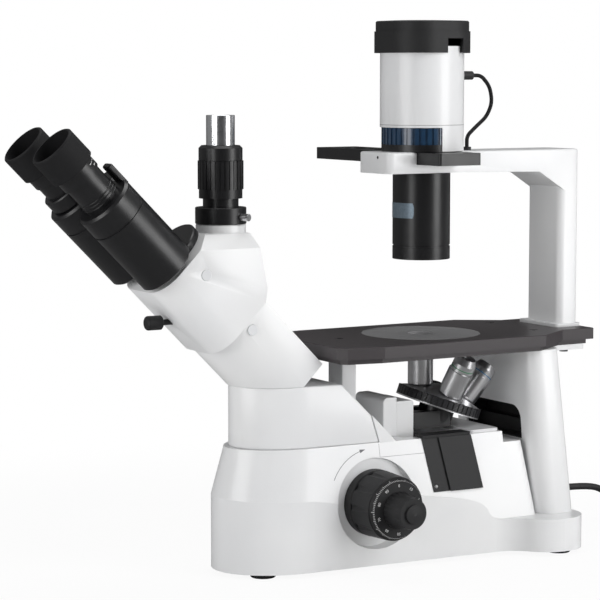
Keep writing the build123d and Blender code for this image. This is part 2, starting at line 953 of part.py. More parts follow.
def stage_insert():
    disc = drum(insert_radius, stage_top - insert_thick, stage_top, 0, 0, insert_hole)
    return chamfer(disc.edges().group_by(Axis.Z)[-1], soft_edge / 4)


def cap_screw(x, y, top, length):
    # A socket screw, its head's top at the given height
    body = Pos(0, 0, top - length) * extrude(Circle(screw_radius), length)
    recess = extrude(RegularPolygon(screw_socket, 6), length / 2)
    return Pos(x, y, 0) * (body - Pos(0, 0, top - length / 2) * recess)


def body_screws():
    screws = [cap_screw(x, y, stage_top - seat, screw_head - seat) for x, y in stage_screws]
    under = stage_top - stage_thick - bracket_thick
    for x, y in bracket_screws:
        head = drum(screw_radius, under - screw_head, under)
        shank = drum(screw_radius / 2, under, under + bracket_thick)
        screws.append(Pos(x, y, 0) * (head + shank))
    return screws


def screws_and_plugs():
    return body_screws() + screw_plugs()


def stage_front_post():
    top = stage_top - stage_thick
    rear = post_front + post_long
    body = across(
        ((post_front, top), (rear, top), (rear, slant_z(rear)), (post_front, slant_z(post_front))), post_half
    )
    body = fillet(body.edges().filter_by(Axis.Z), soft_edge)
    groove_z = slant_z(post_front) + post_groove_drop
    groove = block(
        post_front - cut_over, post_front + post_groove, -post_half * 2, post_half * 2,
        groove_z, groove_z + post_groove,
    )
    return body - groove


def slant_z(x):
    return stage_top + (arm_back_u - x * sin(radians(eye_tilt))) / cos(radians(eye_tilt))


# Illumination arm, lamp house and condenser


def illumination_arm():
    inner = -arm_nose - arm_half / 2
    profile = (
        (arm_nose, arm_floor), (inner, arm_floor), (pillar_front - arm_root_long, arm_root),
        (pillar_front, arm_root - arm_root_long / 3), (pillar_front, stage_top), (stage_end, stage_top),
        (stage_end, arm_roof), (arm_nose, arm_roof),
    )
    body = across(profile, pillar_half)
    body = fillet(body.edges().filter_by(Axis.Z), arm_corner)
    body = fillet(body.faces().sort_by(Axis.Z)[-1].edges(), soft_edge * 2)
    body += soft_block(
        pillar_front - pillar_foot_front, stage_end, -pillar_half - pillar_foot_side,
        pillar_half + pillar_foot_side, stage_top, stage_top + pillar_foot_thick, pillar_foot_side,
    )
    floor = slider_low - seat
    body -= block(
        -slider_half - seat, slider_half + seat, -arm_half * 2, arm_half * 2, floor, arm_roof + cut_over
    )
    body -= drum(light_bore, arm_floor - cut_over, floor)
    return body


def condenser_tube():
    body = drum(condenser_radius, condenser_low, arm_floor, 0, 0, condenser_radius - condenser_wall)
    body -= drum(condenser_radius + cut_over, condenser_groove_z, condenser_groove_z + seam_wide, 0, 0,
                 condenser_radius - seam_deep)
    shelf = condenser_low + condenser_wall * 2
    return body + drum(condenser_radius - seam_deep, shelf, shelf + condenser_wall, 0, 0,
                       condenser_lens_radius - condenser_wall)


def condenser_lens():
    low = condenser_low + condenser_wall * 3
    lens = drum(condenser_radius - condenser_wall - slip, low, low + lens_thick * 2)
    return fillet(lens.edges().group_by(Axis.Z)[-1], lens_thick)


def lamp_collar():
    return drum(collar_radius, arm_roof, collar_top, 0, 0, light_bore)


def filter_ring():
    face = Circle(filter_radius) - Circle(light_bore)
    flute = Pos(filter_radius, 0) * Rectangle(filter_rib * 2, filter_rib * 2)
    for spot in PolarLocations(0, filter_rib_count):
        face -= spot * flute
    ring = Pos(0, 0, collar_top) * extrude(face, filter_top - collar_top)
    glass = drum(light_bore - slip, collar_top + lens_thick, collar_top + lens_thick * 2)
    return ring, glass


def lamp_house():
    body = drum(lamp_radius, lamp_window_z, lamp_top)
    body -= drum(lamp_radius - lamp_wall, lamp_window_z + lamp_wall, lamp_top + cut_over)
    body -= drum(light_bore, lamp_window_z - cut_over, lamp_window_z + lamp_wall)
    skirt = drum(lamp_radius, lamp_low, lamp_window_z, 0, 0, lamp_radius - lamp_skirt_wall)
    front = block(-lamp_radius * 2, lamp_window_x, -lamp_radius * 2, lamp_radius * 2, 0, lamp_window_z)
    body += skirt - front
    tab = drum(lamp_radius, lamp_top, lamp_top + lamp_tab_rise, 0, 0, lamp_radius - lamp_wall)
    body += tab & tab_zone(0)
    hole = Pos(0, 0, lead_top_z) * Rot(0, 90, 0) * extrude(Circle(lead_gland - soft_edge + slip), lamp_radius * 2)
    return body - hole


def tab_zone(gap):
    half = lamp_tab_wide / 2 + gap
    return block(
        lamp_tab_x - half, lamp_tab_x + half, -cap_side, 0, lamp_top, lamp_top + lamp_tab_rise + gap
    )


def lamp_cap():
    outline = RectangleRounded(cap_side, cap_side, cap_corner)
    low = extrude(outline, cap_height - cap_step)
    top = extrude(offset(outline, -cap_step_in), cap_step)
    top = chamfer(top.edges().group_by(Axis.Z)[-1], soft_edge)
    body = low + Pos(0, 0, cap_height - cap_step) * top
    body -= extrude(offset(outline, -cap_shell), cap_height - cap_shell)
    body = Pos(0, 0, lamp_top) * body
    half = lamp_tab_wide / 2 + seat
    body -= block(
        lamp_tab_x - half, lamp_tab_x + half, -cap_side, seat + lamp_wall - lamp_radius + cap_notch_deep,
        lamp_top, lamp_top + cap_notch_high,
    )
    return body


def lamp_socket():
    plate = drum(lamp_radius - lamp_wall - slip, lamp_top - socket_plate, lamp_top)
    base = soft_block(
        -socket_radius, socket_radius, -socket_radius / 2, socket_radius / 2,
        lamp_top - socket_plate - socket_tall, lamp_top - socket_plate, soft_edge,
    )
    return plate + base


def halogen_bulb():
    top = lamp_top - socket_plate - socket_tall
    glass = drum(bulb_radius, top - bulb_tall, top)
    return fillet(glass.edges().group_by(Axis.Z)[0], bulb_radius - soft_edge)


def phase_slider():
    body = block(-slider_half, slider_half, -slider_near, slider_far, slider_low, slider_low + slider_thick)
    body = fillet(body.edges().filter_by(Axis.Z), soft_edge * 2)
    for step in range(slider_windows):
        body -= drum(slider_window, slider_low - cut_over, slider_low + slider_thick + cut_over, 0,
                     step * slider_pitch)
    for y in (slider_grip - slider_near, slider_far - slider_grip):
        body -= block(-slider_half * 2, slider_half * 2, y, y + slider_groove,
                      slider_low + slider_thick - slider_groove, slider_low + slider_thick + cut_over)
    return body


def phase_rings():
    rings = []
    for step in range(1, slider_windows):
        disc = drum(slider_window - slip, slider_low + slider_groove, slider_low + slider_groove * 3)
        annulus = drum(slider_window - slider_thick / 2 + step, slider_low + slider_groove * 2,
                       slider_low + slider_thick, 0, 0, slider_window - slider_thick + step)
        rings.append(Pos(0, step * slider_pitch, 0) * (disc - annulus))
    return rings


# Focus guide, carriage and nosepiece


def focus_guide_block():
    body = block(guide_front, guide_rear, -guide_half, guide_half, deck_height, guide_top)
    front = body.edges().filter_by(Axis.Y).group_by(Axis.Z)[-1].sort_by(Axis.X)[0]
    body = fillet(front, soft_edge * 5)
    return fillet(body.edges().filter_by(Axis.Z), soft_edge)


def carriage_x():
    return guide_rear + seat, guide_rear + seat + carriage_thick


def focus_carriage():
    x0, x1 = carriage_x()
    body = block(x0, x1, -carriage_half, carriage_half, carriage_low, carriage_top)
    body = fillet(body.edges().filter_by(Axis.Y).group_by(Axis.Z)[-1].sort_by(Axis.X)[-1], soft_edge * 3)
    return fillet(body.edges().filter_by(Axis.Z), soft_edge)


def nosepiece_bracket():
    x0 = carriage_x()[1]
    arm = soft_block(x0, bracket_reach, -bracket_side, bracket_side, bracket_bottom, bracket_top, soft_edge * 2)
    boss_low = turret_ring_low - boss_radius
    boss = turret * (Pos(0, 0, boss_low) * extrude(Circle(boss_radius), boss_radius))
    floor = block(
        -hip_half, hip_half, -hip_half, hip_half, -stage_top, deck_height + crown_rise + bracket_travel
    )
    body = arm + (boss - floor)
    body -= turret * (Pos(0, 0, turret_ring_low - seat) * extrude(Circle(hip_half), hip_half))
    pivot = extrude(Circle(turret_eye_radius - soft_edge), turret_ring_top - turret_ring_low + soft_edge)
    body += turret * (Pos(0, 0, turret_ring_low - soft_edge) * pivot)
    return body - drum(light_path, bracket_bottom - cut_over, turret_seat_z)


def turret_holes(radius):
    holes = []
    for turn in (0, 90, 180, 270):
        hole = Pos(0, 0, -turret_ring_radius) * extrude(Circle(radius), turret_ring_radius * 2)
        holes.append(turret * Rot(0, 0, turn) * Pos(turret_pitch, 0, 0) * Rot(0, turret_tilt, 0) * hole)
    return holes


def turret_ring():
    face = Circle(turret_ring_radius) - Circle(turret_eye_radius - soft_edge + slip)
    notch = Pos(turret_ring_radius, 0) * Rectangle(turret_notch * 2, turret_notch)
    grip = face
    for spot in PolarLocations(0, turret_notch_count):
        grip -= spot * notch
    low = turret_ring_low + turret_edge
    body = turret * (Pos(0, 0, low) * extrude(grip, turret_ring_top - low))
    body += turret * (Pos(0, 0, turret_ring_low) * extrude(face, turret_edge))
    for hole in turret_holes(turret_hole + slip):
        body -= hole
    return body


def turret_cone():
    slope = tan(radians(turret_tilt))
    rim = -(turret_cone_radius - turret_pitch) * slope
    eye_top = (turret_pitch - turret_eye_radius) * slope
    bore = turret_eye_radius - soft_edge * 2
    body = turned(
        ((bore, rim), (turret_cone_radius, rim), (turret_eye_radius, eye_top), (bore, eye_top))
    )
    body = turret * body
    pivot_room = extrude(Circle(turret_eye_radius - soft_edge + slip), soft_edge + slip)
    body -= turret * (Pos(0, 0, turret_ring_top - slip) * pivot_room)
    for hole in turret_holes(turret_hole + slip):
        body -= hole
    return body


def objective(turn, long, tip):
    step = objective_step
    body = turned(
        (
            (0, -turret_spigot), (turret_hole, -turret_spigot), (turret_hole, seat),
            (objective_radius - soft_edge, seat), (objective_radius, seat + soft_edge),
            (objective_radius, step), (objective_radius - soft_edge, step + soft_edge / 2),
            (objective_radius - soft_edge, long - objective_cone), (tip, long), (0, long),
        )
    )
    body -= drum(objective_lens, long - soft_edge, long + cut_over)
    body -= drum(objective_lens, -turret_spigot - cut_over, long - lens_thick * 2)
    return turret * Rot(0, 0, turn) * Pos(turret_pitch, 0, 0) * Rot(0, turret_tilt, 0) * body


def turret_plug(turn):
    cap = drum(turret_hole + soft_edge, seat, turret_plug_tall)
    cap = chamfer(cap.edges().group_by(Axis.Z)[-1], soft_edge)
    body = cap + drum(turret_hole, -turret_spigot, seat)
    return turret * Rot(0, 0, turn) * Pos(turret_pitch, 0, 0) * Rot(0, turret_tilt, 0) * body


# Focus knobs


def tension_collar():
    low = dish_floor + seat
    ring = extrude(Circle(collar_ring) - Circle(shaft_radius + slip), collar_plate - seat * 2)
    ring = chamfer(ring.edges().group_by(Axis.Z)[-1].sort_by(SortBy.RADIUS)[-1], soft_edge)
    hole = Pos((collar_ring + shaft_radius) / 2, 0, collar_plate / 2) * extrude(
        Circle(collar_hole), collar_plate
    )
    for turn in (45, 135, 225, 315):
        ring -= Rot(0, 0, turn) * hole
    return near(Pos(0, 0, low) * ring)


def coarse_knob(side):
    long = coarse_far - coarse_near
    face = Circle(coarse_radius)
    body = extrude(face, long, taper=coarse_taper)
    flute = Pos(coarse_radius + coarse_flute - coarse_flute_deep, 0) * Cylinder(coarse_flute, long * 2)
    for turn in range(coarse_flute_count):
        body -= Rot(0, 0, turn * 360 / coarse_flute_count) * flute
    body = chamfer(body.edges().group_by(Axis.Z)[0], soft_edge / 2)
    dial = cone(coarse_tip_radius - soft_edge, dial_radius, long, dial_far - coarse_near)
    body += dial
    body -= drum(shaft_radius - slip, -cut_over, dial_far)
    body = near(Pos(0, 0, coarse_near) * body)
    return body if side < 0 else mirror(body, Plane.XZ)


def coarse_shaft():
    reach = coarse_far - soft_edge
    tube = Circle(shaft_radius - slip * 2) - Circle(fine_shaft_radius + slip)
    collar = Circle(shaft_radius) - Circle(fine_shaft_radius + slip)
    whole = near(Pos(0, 0, -reach) * extrude(tube, reach * 2))
    return whole + near(Pos(0, 0, -coarse_near) * extrude(collar, coarse_near * 2))


def fine_knob(side):
    face = Circle(fine_radius)
    rib = Pos(fine_radius, 0) * Rectangle(fine_rib * 2, fine_rib)
    for spot in PolarLocations(0, fine_rib_count):
        face -= spot * rib
    long = knob_end - fine_near
    body = extrude(face, long - soft_edge * 3)
    limit = turned(
        (
            (0, 0), (fine_radius, 0), (fine_tip_radius, long - soft_edge * 3),
            (fine_tip_radius - soft_edge * 4, long - soft_edge), (0, long),
        )
    )
    body = (body + drum(fine_radius / 2, 0, long)) & limit
    body -= drum(fine_shaft_radius, -cut_over, long / 2)
    body = near(Pos(0, 0, fine_near) * body)
    return body if side < 0 else mirror(body, Plane.XZ)


def fine_shaft():
    reach = (fine_near + knob_end) / 2
    return near(Pos(0, 0, -reach) * extrude(Circle(fine_shaft_radius), reach * 2))


# Side cover, switch and brightness knob


def cover_prism(x_top, x_low, rear_top, rear_low):
    points = ((x_top, deck_height), (rear_top, deck_height), (rear_low, cover_low), (x_low, cover_low))
    sheet = Plane.XZ * make_face(Polyline(*points, close=True))
    return extrude(sheet, low_rear_half + cut_over)


def side_cover():
    wall = upper_body()
    whole = cover_prism(cover_front, cover_front + cover_shift, cover_rear, cover_rear + cover_shift)
    body = (whole & Pos(0, -cover_thick, 0) * wall) - wall
    pocket_rear = cover_front + cover_pocket_wide
    pocket = cover_prism(cover_front, cover_front + cover_shift, pocket_rear, pocket_rear + cover_shift)
    body -= pocket - Pos(0, cover_pocket - cover_thick, 0) * wall
    roof = block(
        cover_front, cover_rear, -deck_edge_half() - cover_thick, -well_half, deck_height,
        deck_height + cover_thick,
    )
    return body + roof


def deck_edge_half():
    # Half the deck's width level with the front edge of the cover
    run = (cover_front - deck_front_centre) / (deck_rear - deck_front_centre)
    return deck_front_half + (deck_rear_half - deck_front_half) * run


def switch_frame_piece():
    body = switch_hole(0) & block(
        -hip_half, hip_half, 0, rocker_axis_y + rocker_radius - switch_proud, 0, deck_height
    )
    window = block(
        switch_x - switch_long / 2 + switch_frame, switch_x + switch_long / 2 - switch_frame,
        switch_seat + switch_frame, hip_half,
        switch_z - switch_high / 2 + switch_frame / 2, switch_z + switch_high / 2 - switch_frame / 2,
    )
    return body - window


def switch_rocker():
    reach = rocker_radius * 2
    half = radians(rocker_spread)
    wedge = make_face(
        Polyline((0, 0), (reach * cos(half), reach * sin(half)), (reach * cos(half), -reach * sin(half)), close=True)
    )
    face = (Circle(rocker_radius) & wedge) + Circle(rocker_pin * 2)
    half_long = switch_long / 2 - switch_frame - seat
    return Pos(switch_x, rocker_axis_y, switch_z) * extrude(Plane.YZ * face, half_long, both=True)


def brightness_knob():
    face = Circle(dimmer_radius)
    rib = Pos(dimmer_radius, 0) * Rectangle(dimmer_rib * 2, dimmer_rib)
    for spot in PolarLocations(0, dimmer_rib_count):
        face -= spot * rib
    grip = Pos(0, 0, dimmer_seat + seat) * extrude(face, dimmer_proud)
    shaft = Pos(0, 0, well_half + base_wall + seat) * extrude(Circle(dimmer_shaft), dimmer_seat - well_half)
    return Pos(dimmer_x, 0, dimmer_z) * Rot(-90, 0, 0) * (grip + shaft)


# Inside the base


def power_supply():
    return transformer(), circuit_board()


def transformer():
    floor = foot_height + plate_thick
    rear = transformer_front + transformer_long
    core = block(transformer_front, rear, -transformer_half, transformer_half, floor, floor + transformer_tall / 2)
    coil = soft_block(
        transformer_front + base_wall, rear - base_wall, base_wall - transformer_half,
        transformer_half - base_wall, floor, floor + transformer_tall, soft_edge * 3,
    )
    return core + coil


def circuit_board():
    floor = foot_height + plate_thick
    rear = board_front + board_long
    board = block(board_front, rear, -board_half, board_half, floor + board_rise, floor + board_rise + board_thick)
    for x in (board_front + board_rise, rear - board_rise):
        for y in (board_rise - board_half, board_half - board_rise):
            board += drum(board_post, floor, floor + board_rise, x, y)
    return board


def beam_mirror():
    floor = deck_height - well_depth
    return across(
        ((-mirror_half, floor), (mirror_half, floor), (mirror_half, floor + mirror_tall)), mirror_half
    )


# Leads and cord


def cord_tube(points, radius):
    # Straight runs joined by arcs as large as the two runs beside each point allow
    spots = [Vector(*point) for point in points]
    bends = []
    for before, here, after in zip(spots, spots[1:], spots[2:]):
        turn = (here - before).get_angle(after - here)
        shorter = min((here - before).length, (after - here).length)
        bends.append(0.45 * shorter / tan(radians(turn / 2)))
    path = FilletPolyline(*points, radius=bends)
    start = Plane(origin=path @ 0, z_dir=path % 0)
    tube = sweep(start * Circle(radius), path=path)
    print("radii", [round(bend, 1) for bend in bends], "volume", round(tube.volume),
          "against", round(path.length * pi * radius * radius))
    return tube


def lamp_lead():
    foot = arm_roof + lead_foot_rise
    points = (
        (lamp_radius + lead_out, 0, lead_top_z), (66, 0, lead_top_z), (76, 0, 430), (79, 0, 415),
        (73, 0, 402), (60, 0, 392), (lead_foot_x, 0, 384), (lead_foot_x, 0, foot),
    )
    return cord_tube(points, lead_radius)


def lead_glands():
    upper = Pos(lamp_radius - lamp_wall, 0, lead_top_z) * Rot(0, 90, 0) * (
        extrude(Circle(lead_gland), lead_out + lamp_wall)
    )
    upper -= drum(lamp_radius, 0, lamp_top)
    inner = Pos(lamp_radius - lamp_wall, 0, lead_top_z) * Rot(0, 90, 0) * extrude(
        Circle(lead_gland - soft_edge), lamp_wall * 2
    )
    lower = drum(lead_gland, arm_roof, arm_roof + lead_foot_rise, lead_foot_x)
    return upper + inner, lower


def strain_relief():
    # The gland in the column's rear wall and the ribbed boot round the cord
    wall_x = column_back_x(inlet_z)
    inner = wall_x - gland_long / 2
    body = drum(gland_radius, 0, gland_long / 2 + gland_plate)
    boot = drum(cord_radius + gland_plate, 0, gland_long, 0, 0)
    flange = drum(gland_flange, 0, gland_plate)
    along = Pos(inner, inlet_y, inlet_z) * Rot(0, 90, 0)
    seated = Pos(relief_face(), inlet_y, inlet_z) * Rot(0, 90, 0)
    return along * body + seated * (flange + boot)


def relief_face():
    # The flange stands clear of the leaning wall at its lowest point
    return column_back_x(inlet_z - gland_flange) + seat


def cord_glands():
    return (*lead_glands(), strain_relief())


def column_back_x(z):
    top = stage_top - stage_thick
    share = (z - skirt_back_top) / (top - skirt_back_top)
    return column_low_rear + (column_top_rear - column_low_rear) * share


def power_cord():
    start = relief_face() + gland_long
    middle = plug_tall / 2
    out = (
        (start, inlet_y, inlet_z), (187, inlet_y, inlet_z), (213, -8, 36.5), (238, 2, 13),
        (coil_x, coil_y + coil_ring + cord_radius * 2, cord_radius),
    )
    tail = (
        (295.7, 3, middle), (313, -9.3, middle), (323, -28, middle), (plug_x, -46, middle),
        (plug_x, plug_y, middle),
    )
    return cord_tube(out, cord_radius), cord_tube(tail, cord_radius)


def cord_coil():
    section = Pos(coil_ring, coil_tall / 2) * RectangleRounded(coil_wide, coil_tall, coil_tall / 2 - soft_edge)
    return Pos(coil_x, coil_y, 0) * revolve(Plane.XZ * section, Axis.Z)


def power_plug():
    # Made along +X and turned to lie beside the coil, its blades toward -Y
    body = block(0, plug_long, -plug_half, plug_half, 0, plug_tall)
    body = fillet(body.edges().filter_by(Axis.Z), plug_half / 3)
    middle = plug_tall / 2
    for y in (-blade_apart / 2, blade_apart / 2):
        body += block(plug_long, plug_long + blade_long, y - blade_thick / 2, y + blade_thick / 2,
                      middle - blade_wide / 2, middle + blade_wide / 2)
    return Pos(plug_x, plug_y, 0) * Rot(0, 0, -90) * body


pieces = {
    "base_casting": base_casting, "bottom_plate": bottom_plate, "rubber_feet": rubber_feet,
    "power_supply": power_supply, "beam_mirror": beam_mirror,
    "front_tower": front_tower, "head_arm": head_arm, "head_box": head_box,
    "selector_rod": selector_rod, "hub_plate": hub_plate,
    "diopter_ring": diopter_ring, "port_ring": port_ring, "port_thumbscrew": port_thumbscrew,
    "port_focus_ring": port_focus_ring, "port_cap": port_cap, "camera_tube": camera_tube,
    "rear_column": rear_column, "cavity_liner": cavity_liner, "stage_plate": stage_plate,
    "stage_insert": stage_insert, "stage_front_post": stage_front_post, "screws_and_plugs": screws_and_plugs,
    "illumination_arm": illumination_arm, "condenser_tube": condenser_tube,
    "condenser_lens": condenser_lens, "lamp_collar": lamp_collar, "filter_ring": filter_ring,
    "lamp_house": lamp_house, "lamp_cap": lamp_cap, "lamp_socket": lamp_socket,
    "halogen_bulb": halogen_bulb, "phase_slider": phase_slider, "phase_rings": phase_rings,
    "focus_guide_block": focus_guide_block, "focus_carriage": focus_carriage,
    "nosepiece_bracket": nosepiece_bracket, "turret_ring": turret_ring, "turret_cone": turret_cone,
    "tension_collar": tension_collar, "coarse_shaft": coarse_shaft,
    "fine_shaft": fine_shaft, "side_cover": side_cover, "switch_frame": switch_frame_piece,
    "switch_rocker": switch_rocker, "brightness_knob": brightness_knob, "lamp_lead": lamp_lead,
    "cord_glands": cord_glands, "power_cord": power_cord,
    "cord_coil": cord_coil, "power_plug": power_plug,
}
for name, make in pieces.items():
    made = make()
    save(name, *(made if isinstance(made, (list, tuple)) else (made,)))

save("prism_housing_right", prism_housing(-1, False))
save("prism_housing_left", prism_housing(1, True))
save("eyepiece_right", *eyepiece(-1))
save("eyepiece_left", *eyepiece(1))
save("eyecup_right", eyecup(-1))
save("eyecup_left", eyecup(1))
save("objectives", *[objective(turn, objective_long, objective_tip_radius) for turn in (0, 90, 180)])
save("turret_plug", turret_plug(270))
save("coarse_knobs", coarse_knob(-1), coarse_knob(1))
save("fine_knobs", fine_knob(-1), fine_knob(1))
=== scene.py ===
from math import atan, cos, pi, radians, sin

import bmesh
import bpy
from mathutils import Matrix, Vector


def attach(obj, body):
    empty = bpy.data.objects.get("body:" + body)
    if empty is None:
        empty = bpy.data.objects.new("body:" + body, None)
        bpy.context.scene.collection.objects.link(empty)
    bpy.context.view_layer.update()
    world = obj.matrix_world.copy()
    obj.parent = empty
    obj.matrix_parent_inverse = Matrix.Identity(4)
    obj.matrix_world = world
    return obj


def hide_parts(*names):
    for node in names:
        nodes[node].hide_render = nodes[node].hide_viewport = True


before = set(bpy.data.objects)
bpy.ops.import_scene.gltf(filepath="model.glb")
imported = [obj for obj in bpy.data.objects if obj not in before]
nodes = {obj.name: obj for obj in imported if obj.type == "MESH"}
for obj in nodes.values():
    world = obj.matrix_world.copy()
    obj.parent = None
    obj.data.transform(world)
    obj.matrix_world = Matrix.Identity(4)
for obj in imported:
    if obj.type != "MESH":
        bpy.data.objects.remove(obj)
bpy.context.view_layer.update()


# Places are given in millimetres from the optical axis and the bench, as the instrument is drawn.
axis_x, axis_y = 117.796, -17.25


def at(x, y, z):
    return Vector(((x + axis_x) / 1000, (y + axis_y) / 1000, z / 1000))


# The camera stands in front of the instrument's right, a little above the stage, with a long lens.
camera_spot = at(-1142.8, -1699.8, 442.3)
camera_aim = Vector((0.5092, 0.8546, -0.1016))
lens = bpy.data.cameras.new("camera")
lens.lens = 133.4
lens.sensor_width = 36
lens.clip_start = 0.05
camera = bpy.data.objects.new("camera", lens)
bpy.context.scene.collection.objects.link(camera)
camera.location = camera_spot
camera.rotation_euler = camera_aim.to_track_quat("-Z", "Y").to_euler()
bpy.context.scene.camera = camera
bpy.context.scene.view_settings.view_transform = "Standard"


# Shader arithmetic: one wrapper round a socket, and one class that builds a finish from nodes.
class Value:
    def __init__(self, finish, socket):
        self.finish = finish
        self.socket = socket

    def math(self, operation, first, second):
        return self.finish.node("ShaderNodeMath", {"operation": operation}, {0: first, 1: second})

    def __add__(self, other):
        return self.math("ADD", self, other)

    def __sub__(self, other):
        return self.math("SUBTRACT", self, other)

    def __rsub__(self, other):
        return self.math("SUBTRACT", other, self)

    def __mul__(self, other):
        return self.math("MULTIPLY", self, other)

    def __gt__(self, other):
        return self.math("GREATER_THAN", self, other)

    def __lt__(self, other):
        return self.math("LESS_THAN", self, other)

    __radd__ = __add__
    __rmul__ = __mul__


class Finish:
    def __init__(self, name, colour, rough, metal=0.0, **fixed):
        self.material = bpy.data.materials.new(name)
        self.material.use_nodes = True
        self.tree = self.material.node_tree
        self.shader = self.tree.nodes["Principled BSDF"]
        self.place = self.node("ShaderNodeTexCoord", output="Object")
        self.set("Base Color", colour)
        self.set("Roughness", rough)
        self.set("Metallic", metal)
        for socket, value in fixed.items():
            self.set(socket.replace("_", " "), value)

    def node(self, kind, settings=None, inputs=None, output=0):
        made = self.tree.nodes.new(kind)
        for key, value in (settings or {}).items():
            setattr(made, key, value)
        for key, value in (inputs or {}).items():
            self.feed(made.inputs[key], value)
        return Value(self, made.outputs[output])

    def feed(self, socket, value):
        if isinstance(value, Value):
            self.tree.links.new(value.socket, socket)
        elif socket.type == "RGBA" and len(value) == 3:
            socket.default_value = (*value, 1)
        else:
            socket.default_value = value

    def set(self, socket, value):
        self.feed(self.shader.inputs[socket], value)

    def noise(self, scale, detail):
        return self.node(
            "ShaderNodeTexNoise", None, {"Vector": self.place, "Scale": scale, "Detail": detail}
        )

    def part(self, axis):
        return self.node("ShaderNodeSeparateXYZ", None, {0: self.place}, axis)

    def fade(self, value, low, high):
        return self.node(
            "ShaderNodeMapRange", {"interpolation_type": "SMOOTHSTEP"},
            {"Value": value, "From Min": low, "From Max": high},
        )

    def mix(self, share, first, second):
        return self.node(
            "ShaderNodeMix", {"data_type": "RGBA"}, {0: share, 6: first, 7: second}, 2
        )

    def bump(self, height, depth, strength):
        self.set("Normal", self.node(
            "ShaderNodeBump", None, {"Height": height, "Distance": depth, "Strength": strength}
        ))


def paint(finish, *names):
    for name in names:
        slots = nodes[name].data.materials
        for index in range(len(slots)):
            slots[index] = finish.material
        if not slots:
            slots.append(finish.material)


def clear_selection():
    if bpy.context.object and bpy.context.object.mode != "OBJECT":
        bpy.ops.object.mode_set(mode="OBJECT")
    bpy.ops.object.select_all(action="DESELECT")


def finish_piece(piece, name, body, finish):
    # Puts the piece's place into its mesh and hangs it on its body
    clear_selection()
    piece.select_set(True)
    bpy.context.view_layer.objects.active = piece
    bpy.ops.object.transform_apply(location=True, rotation=True, scale=True)
    piece.name = name
    piece.data.name = name
    piece.data.materials.clear()
    piece.data.materials.append(finish.material)
    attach(piece, body)
    return piece


def stand_at(piece, spot, turn):
    # Puts a new piece at its place and turn, and writes them into its mesh
    piece.matrix_world = Matrix.Translation(spot) @ turn.to_4x4()
    bpy.ops.object.transform_apply(location=True, rotation=True, scale=True)


def add_wall(piece, thick):
    # Gives a sheet its thickness, half on each side
    wall = piece.modifiers.new("wall", "SOLIDIFY")
    wall.thickness = thick
    wall.offset = 0
    clear_selection()
    piece.select_set(True)
    bpy.context.view_layer.objects.active = piece
    bpy.ops.object.modifier_apply(modifier="wall")


# The bench: a pale floor that keeps a faint shadow under the instrument and is plain white farther
# out. Bright metal sees it darker than the camera does.
shadow_start, shadow_end, least_white = 0.35, 0.7, 0.93
bpy.ops.mesh.primitive_plane_add(size=12, location=(0, 0, 0))
floor = bpy.context.object
floor.name = "bench_floor"
bench = Finish("bench_white", (0.9, 0.9, 0.9), 0.8)
seen = bench.node("ShaderNodeLightPath", output="Is Camera Ray")
seen = seen + bench.node("ShaderNodeLightPath", output="Is Transmission Ray")
mirrored = bench.node("ShaderNodeLightPath", output="Is Glossy Ray")
bench.set("Base Color", bench.mix(mirrored, (0.9, 0.9, 0.9), (0.28, 0.28, 0.28)))
away = bench.node("ShaderNodeVectorMath", {"operation": "LENGTH"}, {0: bench.place}, 1)
share = bench.fade(away, shadow_start, shadow_end) * (1 - least_white) + least_white
white = bench.node("ShaderNodeEmission", None, {"Color": (1, 1, 1), "Strength": 1.0})
shaded = Value(bench, bench.shader.outputs[0])
both = bench.node("ShaderNodeMixShader", None, {0: seen * share, 1: shaded, 2: white})
bench.feed(bench.tree.nodes["Material Output"].inputs["Surface"], both)
floor.data.materials.append(bench.material)


# The room: white to the camera and a soft grey to the instrument. Seen in the metal, it is dark
# toward the camera and behind the instrument, so turned pieces show a dark stripe.
room_grey, room_bright, room_dark = 0.25, 0.3, 0.06
world = bpy.data.worlds.new("studio")
world.use_nodes = True
bpy.context.scene.world = world
sky = world.node_tree
background = sky.nodes["Background"]
background.inputs["Color"].default_value = (1, 1, 1, 1)
path = sky.nodes.new("ShaderNodeLightPath")


def sky_sum(kind, operation, first, second=None):
    made = sky.nodes.new(kind)
    made.operation = operation
    sky.links.new(first, made.inputs[0])
    if isinstance(second, tuple):
        made.inputs[1].default_value = second
    elif second:
        sky.links.new(second, made.inputs[1])
    return made.outputs["Value"]


def sky_range(value, low, high, start=0.0, end=1.0):
    # Runs from low to high while the value runs from start to end
    made = sky.nodes.new("ShaderNodeMapRange")
    sky.links.new(value, made.inputs["Value"])
    for socket, size in (("From Min", start), ("From Max", end), ("To Min", low), ("To Max", high)):
        if isinstance(size, float):
            made.inputs[socket].default_value = size
        else:
            sky.links.new(size, made.inputs[socket])
    return made.outputs[0]


way = sky.nodes.new("ShaderNodeTexCoord").outputs["Generated"]
facing = sky_sum("ShaderNodeVectorMath", "DOT_PRODUCT", way, (-0.509, -0.855, 0.1))
both_ways = sky_sum("ShaderNodeMath", "ABSOLUTE", facing)
shown = sky_sum(
    "ShaderNodeMath", "MAXIMUM", path.outputs["Is Camera Ray"], path.outputs["Is Transmission Ray"]
)
in_metal = sky_range(both_ways, room_bright, room_dark, 0.5, 0.9)
ambient = sky_range(path.outputs["Is Glossy Ray"], room_grey, in_metal)
sky.links.new(sky_range(shown, ambient, 1.0), background.inputs["Strength"])


